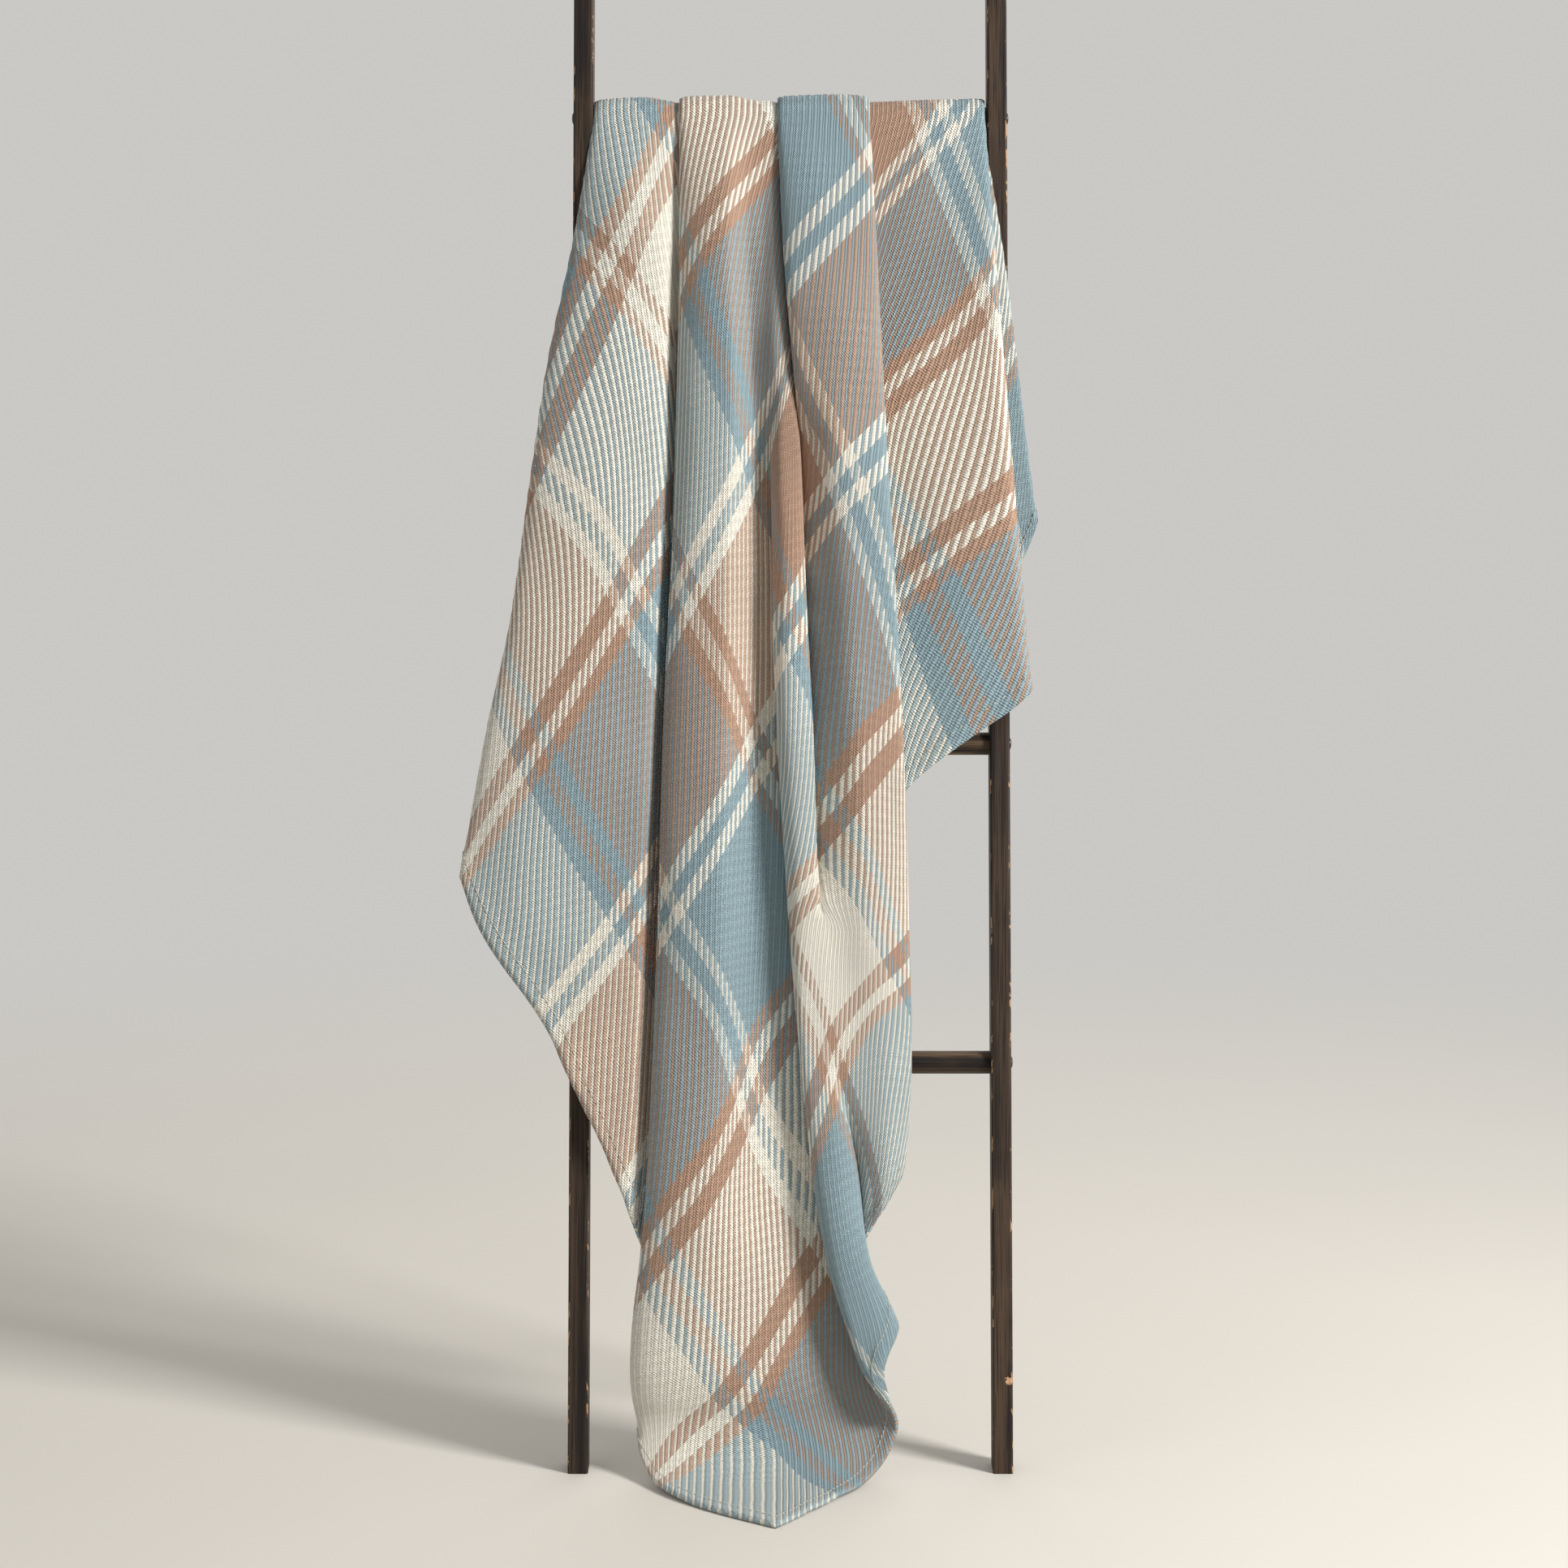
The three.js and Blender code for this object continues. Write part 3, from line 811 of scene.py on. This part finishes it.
def plaid_material():
    """A soft ribbed twill in the plaid's colours, darker between the ribs from painted shade in the grooves.
    """
    tree = Tree("plaid_twill")
    cut = tree.split(tree.coordinates("UV"))
    s = tree.math("MULTIPLY", cut["X"], CUT_S)
    t = tree.math("MULTIPLY", cut["Y"], CUT_T)
    flat = tree.combine(s, t)
    drift = tree.math("MULTIPLY", tree.math("SUBTRACT", tree.noise(flat, 0.02, 3.0), 0.5), 3.0)
    down = tree.math("ADD", s, t)
    across = tree.math("ADD", tree.math("SUBTRACT", t, s), drift)
    rib = rib_place(tree, down, across)
    fuzz = tree.noise(flat, 0.55, 3.0, 0.6)
    height = weave_height(tree, rib, down, across, fuzz)

    # Painted shade: the colour is darkened in the grooves between the ribs and lightened on the rib tops,
    # following the weave's height; the fuzz and the worn patches add tone that differs at random.
    shade = tree.remap(height, 0.1, 1.3, 0.68, 1.04)
    yarn_shade = tree.remap(fuzz, 0.3, 0.7, 0.90, 1.06)
    worn = tree.remap(tree.noise(flat, 0.006, 2.0), 0.35, 0.65, 0.96, 1.03)
    shade_and_tone = tree.math("MULTIPLY", tree.math("MULTIPLY", shade, yarn_shade), worn)
    shade_and_tone_grey = tree.combine(shade_and_tone, shade_and_tone, shade_and_tone)
    colour = tree.mix(1.0, sett_colour(tree, s, t, rib), shade_and_tone_grey, "MULTIPLY")
    tree.put(tree.shader.inputs["Base Color"], colour)
    tree.put(tree.shader.inputs["Roughness"], tree.remap(fuzz, 0.3, 0.7, 0.82, 0.96))
    tree.shader.inputs["Sheen Weight"].default_value = 0.12
    tree.shader.inputs["Sheen Roughness"].default_value = 0.5
    tree.bump(height, 0.0012, 0.9)
    return tree.material


def thread_material():
    """Off-white sewing thread with a fine twist."""
    tree = Tree("hem_thread")
    strands = tree.noise(tree.coordinates("Object"), 1400.0, 2.0)
    tree.put(tree.shader.inputs["Base Color"], tree.mix(strands, linear("b9b4a6"), linear("dcd8cc")))
    tree.put(tree.shader.inputs["Roughness"], tree.remap(strands, 0.3, 0.7, 0.6, 0.8))
    tree.shader.inputs["Sheen Weight"].default_value = 0.1
    tree.bump(strands, 0.0001)
    return tree.material


def along_grain(across_scale, long_scale, long_axis):
    """A noise's scale on the three axes, drawn out along the wood."""
    scale = [across_scale] * 3
    scale[long_axis] = long_scale
    return tuple(scale)


def grain_of(tree, where, long_axis):
    """Broad grain and fine pores, both drawn out along the wood."""
    grain = tree.noise(tree.stretch(where, along_grain(85.0, 2.6, long_axis)), 1.0, 6.0, 0.62)
    pores = tree.noise(tree.stretch(where, along_grain(520.0, 12.0, long_axis)), 1.0, 3.0, 0.55)
    return grain, pores


EDGE_WEAR = 0.0022  # m, width of the worn edge of a stile
CHIP_HEIGHT = 0.093  # m above the floor
CHIP_RADIUS = 0.0060  # m


def stile_section():
    """Middle and half size of the right stile across the ladder, and the same through its depth."""
    low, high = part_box("stile_right")
    points = [vertex.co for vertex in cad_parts["stile_right"].data.vertices]
    depths = [point.y * math.cos(LEAN) - point.z * math.sin(LEAN) for point in points]
    shallow, deep = min(depths), max(depths)
    return (low.x + high.x) / 2, (high.x - low.x) / 2, (shallow + deep) / 2, (deep - shallow) / 2


def distance_between(tree, value, middle):
    return tree.math("ABSOLUTE", tree.math("SUBTRACT", value, middle))


def worn_edges(tree, where, xyz):
    """Short runs along the stiles' long edges, near both a side and a face."""
    middle, half, depth_middle, depth_half = stile_section()
    slope_y = tree.math("MULTIPLY", xyz["Y"], math.cos(LEAN))
    depth = tree.math("SUBTRACT", slope_y, tree.math("MULTIPLY", xyz["Z"], math.sin(LEAN)))
    from_middle = distance_between(tree, xyz["X"], MIDDLE_X)
    aside = distance_between(tree, from_middle, middle - MIDDLE_X)
    deep = distance_between(tree, depth, depth_middle)
    near_side = tree.remap(aside, half - EDGE_WEAR, half - EDGE_WEAR / 3)
    near_face = tree.remap(deep, depth_half - EDGE_WEAR, depth_half - EDGE_WEAR / 3)
    runs = tree.remap(tree.noise(tree.stretch(where, (160, 160, 42)), 1.0, 3.0, 0.55), 0.58, 0.61)
    return tree.math("MULTIPLY", tree.math("MINIMUM", near_side, near_face), runs)


def large_chip(tree, where, xyz):
    """One ragged chip low on the right stile, beside its outer edge."""
    middle, half = stile_section()[:2]
    across = tree.math("SUBTRACT", xyz["X"], middle + 0.65 * half)
    along = tree.math("SUBTRACT", xyz["Z"], CHIP_HEIGHT)
    squares = [tree.math("POWER", value, 2.0) for value in (across, along)]
    reach = tree.math("SQRT", tree.math("ADD", *squares))
    splinters = tree.math("MULTIPLY", tree.noise(where, 420.0, 3.0, 0.6), CHIP_RADIUS * 2)
    ragged = tree.math("ADD", reach, splinters)
    return tree.remap(ragged, 1.55 * CHIP_RADIUS, 1.75 * CHIP_RADIUS, 1.0, 0.0)


def stile_chips(tree):
    """Where the stain is knocked off the stiles."""
    where = tree.coordinates("Object")
    xyz = tree.split(where)
    return tree.math("MAXIMUM", worn_edges(tree, where, xyz), large_chip(tree, where, xyz))


STAIN, WORN_STAIN, PORE = linear("17100c"), linear("574433"), linear("0e0907")
BARE_WOOD = (linear("9a6a42"), linear("dcb88f"))


def wood_material(name, rotation, long_axis, streak, chips_of=None):
    """Dark stained wood: long grain, pores, rubbed lighter streaks and, on a stile, chips."""
    tree = Tree(name)
    where = tree.stretch(tree.coordinates("Object"), (1, 1, 1), rotation)
    grain, pores = grain_of(tree, where, long_axis)
    patches = tree.noise(where, 7.0, 4.0, 0.6)
    base = tree.mix(tree.remap(grain, 0.36, 0.64), STAIN, streak)
    base = tree.mix(tree.remap(patches, 0.50, 0.72, 0.0, 0.5), base, WORN_STAIN)
    base = tree.mix(tree.remap(pores, 0.50, 0.66, 0.0, 0.8), base, PORE)
    height = tree.math("ADD", tree.math("MULTIPLY", pores, -0.7), tree.math("MULTIPLY", grain, 0.6))
    if chips_of:
        chip = chips_of(tree)
        base = tree.mix(chip, base, tree.mix(grain, *BARE_WOOD))
        height = tree.math("SUBTRACT", height, tree.math("MULTIPLY", chip, 0.8))
    tree.put(tree.shader.inputs["Base Color"], base)
    tree.shader.inputs["Specular IOR Level"].default_value = 0.3
    tree.put(tree.shader.inputs["Roughness"], tree.remap(pores, 0.3, 0.7, 0.48, 0.72))
    tree.bump(height, 0.0008, 0.9)
    return tree.material


def screw_material():
    """Dull dark steel with fine scuffs."""
    tree = Tree("dark_steel")
    where = tree.coordinates("Object")
    scuffs = tree.noise(where, 900.0, 3.0)
    tree.put(tree.shader.inputs["Base Color"], tree.mix(scuffs, linear("3a3836"), linear("6a6864")))
    tree.shader.inputs["Metallic"].default_value = 1.0
    tree.put(tree.shader.inputs["Roughness"], tree.remap(scuffs, 0.3, 0.7, 0.28, 0.5))
    tree.bump(scuffs, 0.00005)
    return tree.material


BACKDROP_GREY = linear("d2d0cc")
BACKDROP_STRENGTH = 0.92  # of the glow behind the object, towards +Y
ROOM_STRENGTH = 0.50  # of the glow on the other side
GLOW_EDGES = (-0.55, 0.35)  # how far towards +Y a direction points where the glow starts and is full
STAGE_RADIUS = 8.0  # m
STAGE_SIDES = 120
FLOOR_FADE = (0.9, 3.2)  # m from the middle where the floor starts to fade, and is all glow


def floor_material():
    """A pale floor that fades into the backdrop's glow with distance."""
    tree = Tree("pale_floor")
    where = tree.coordinates("Object")
    mottle = tree.noise(where, 1.3, 3.0)
    place_in = tree.split(where)
    squares = [tree.math("POWER", place_in[axis], 2.0) for axis in "XY"]
    reach = tree.math("SQRT", tree.math("ADD", *squares))
    far = tree.remap(reach, *FLOOR_FADE)
    near_colour = tree.mix(mottle, linear("cfcbc4"), linear("d5d1ca"))
    tree.put(tree.shader.inputs["Base Color"], tree.mix(far, near_colour, (0, 0, 0, 1)))
    tree.shader.inputs["Roughness"].default_value = 0.9
    tree.shader.inputs["Specular IOR Level"].default_value = 0.0
    tree.put(tree.shader.inputs["Emission Color"], BACKDROP_GREY)
    facing = tree.math("DIVIDE", place_in["Y"], tree.math("MAXIMUM", reach, 0.01))
    glow = tree.remap(facing, *GLOW_EDGES, ROOM_STRENGTH, BACKDROP_STRENGTH)
    tree.put(tree.shader.inputs["Emission Strength"], tree.math("MULTIPLY", far, glow))
    return tree.material


def paint(piece, material):
    piece.data.materials.clear()
    piece.data.materials.append(material)


def paint_ladder():
    stile = wood_material("stile_wood", (LEAN, 0, 0), 2, linear("463629"), stile_chips)
    rung = wood_material("rung_wood", (0, 0, 0), 0, linear("6b5540"))
    screw = screw_material()
    for name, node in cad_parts.items():
        if name.startswith("stile"):
            paint(node, stile)
        elif name.startswith("rung"):
            paint(node, rung)
        elif name.startswith("screw"):
            paint(node, screw)


# ---------------------------------------------------------------- stage, light and camera


def make_floor():
    """A round floor, pale near the object."""
    turns = np.arange(STAGE_SIDES) * 2 * math.pi / STAGE_SIDES
    ring = [(STAGE_RADIUS * math.cos(a), STAGE_RADIUS * math.sin(a), 0.0) for a in turns]
    floor = new_object("floor", ring, [list(range(STAGE_SIDES))])
    paint(floor, floor_material())


LIGHTS_AIM = (0.0, 0.0, 0.8)
# Each light's name, place, size in m, power in W and colour.
LIGHTS = [
    ("key", (3.3, -2.0, 2.6), 1.1, 230, (1.0, 0.98, 0.95)),
    ("fill", (-3.2, -2.8, 1.8), 2.6, 14, (0.95, 0.97, 1.0)),
    ("back", (0.5, 3.6, 2.6), 2.4, 40, (1.0, 1.0, 1.0)),
]


def make_light(name, place_at, size, power, colour):
    """A square area light that points at the object."""
    lamp = bpy.data.lights.new(name, "AREA")
    lamp.shape = "SQUARE"
    lamp.size = size
    lamp.energy = power
    lamp.color = colour
    made = bpy.data.objects.new(name, lamp)
    made.location = place_at
    aim = np.array(LIGHTS_AIM) - np.array(place_at)
    made.rotation_euler = (math.atan2(math.hypot(aim[0], aim[1]), -aim[2]), 0, math.atan2(-aim[0], aim[1]))
    bpy.context.scene.collection.objects.link(made)


def make_world():
    """A plain glow all round, brighter behind the object."""
    world = bpy.data.worlds.new("studio")
    world.use_nodes = True
    nodes, links = world.node_tree.nodes, world.node_tree.links
    way = nodes.new("ShaderNodeTexCoord")
    parts = nodes.new("ShaderNodeSeparateXYZ")
    glow = nodes.new("ShaderNodeMapRange")
    glow.interpolation_type = "SMOOTHSTEP"
    for k, number in enumerate((*GLOW_EDGES, ROOM_STRENGTH, BACKDROP_STRENGTH), start=1):
        glow.inputs[k].default_value = number
    links.new(way.outputs["Generated"], parts.inputs["Vector"])
    links.new(parts.outputs["Y"], glow.inputs["Value"])
    links.new(glow.outputs["Result"], nodes["Background"].inputs["Strength"])
    nodes["Background"].inputs["Color"].default_value = BACKDROP_GREY
    bpy.context.scene.world = world
    bpy.context.scene.view_settings.view_transform = "Standard"


CAMERA_ASIDE = -0.0066  # m from the middle of the ladder
CAMERA_BACK = 4.2  # m in front of its feet
CAMERA_HEIGHT = 1.316  # m
CAMERA_PITCH = 8.126  # degrees down
LENS = 96.24  # mm
SENSOR = 36  # mm


def make_camera():
    """The camera at the photograph's viewing angle."""
    lens = bpy.data.cameras.new("camera")
    lens.sensor_width = SENSOR
    lens.lens = LENS
    camera = bpy.data.objects.new("camera", lens)
    camera.location = (MIDDLE_X + CAMERA_ASIDE, FOOT_Y - CAMERA_BACK, CAMERA_HEIGHT)
    camera.rotation_euler = (math.radians(90 - CAMERA_PITCH), 0, 0)
    bpy.context.scene.collection.objects.link(camera)
    bpy.context.scene.camera = camera


make_camera()
throw = make_throw()
paint(throw, plaid_material())
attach(throw, "throw")
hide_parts("throw")
stitching = make_stitching()
paint(stitching, thread_material())
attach(stitching, "throw")
paint_ladder()
make_floor()
for light in LIGHTS:
    make_light(*light)
make_world()
